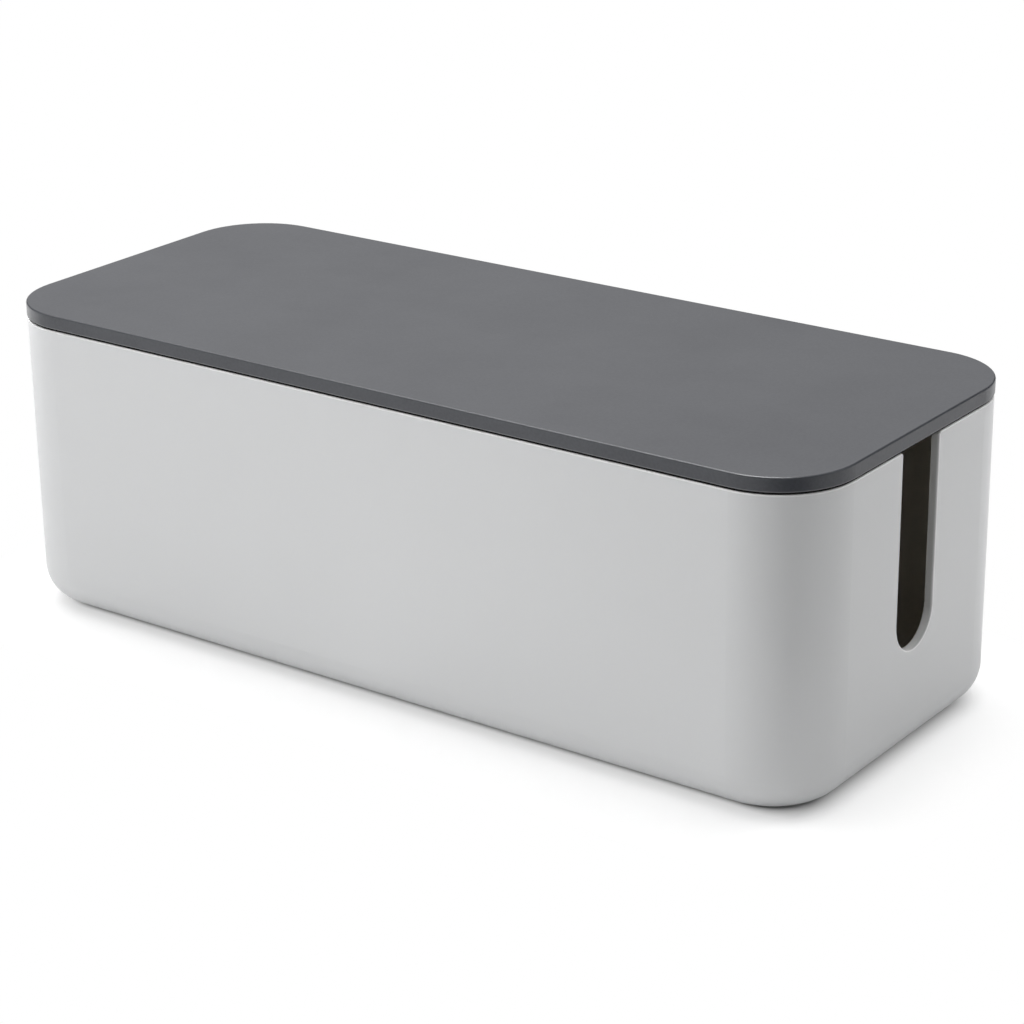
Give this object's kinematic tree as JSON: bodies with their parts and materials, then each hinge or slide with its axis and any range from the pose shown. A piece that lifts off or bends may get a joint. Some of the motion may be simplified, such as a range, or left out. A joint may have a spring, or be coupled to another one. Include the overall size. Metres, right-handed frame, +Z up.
{
  "type": "cable management box",
  "caption": "Long rounded box with a flat lift-off lid and a cable slot in each end, which hides a power strip, plugs and spare cable.",
  "frame": {"origin": "on the table under the middle of the box", "axes": "+X along the length, towards the right-hand end, +Y towards the back and +Z up; the front is the long side that faces -Y"},
  "size_m": [0.4, 0.166, 0.1365],
  "materials": {
    "painted_body": "fine satin light silver-grey paint outside and on the edges of the slots, bare warm light-grey moulding inside",
    "lid_plastic": "fine-grained satin slate grey, matt underneath",
    "foot_rubber": "matt dark rubber",
    "adhesive": "thin translucent double-sided adhesive film"
  },
  "bodies": {
    "box": {"box_body": "painted_body", "foot_front_left": "foot_rubber", "foot_front_right": "foot_rubber", "foot_back_left": "foot_rubber", "foot_back_right": "foot_rubber", "foot_adhesive_front_left": "adhesive", "foot_adhesive_front_right": "adhesive", "foot_adhesive_back_left": "adhesive", "foot_adhesive_back_right": "adhesive"},
    "lid": {"lid": "lid_plastic"}
  },
  "joints": [
    {"name": "lid_lift", "type": "slide", "parent": "box", "child": "lid", "axis": [0, 0, 1], "range_m": [0, 0.15]}
  ]
}
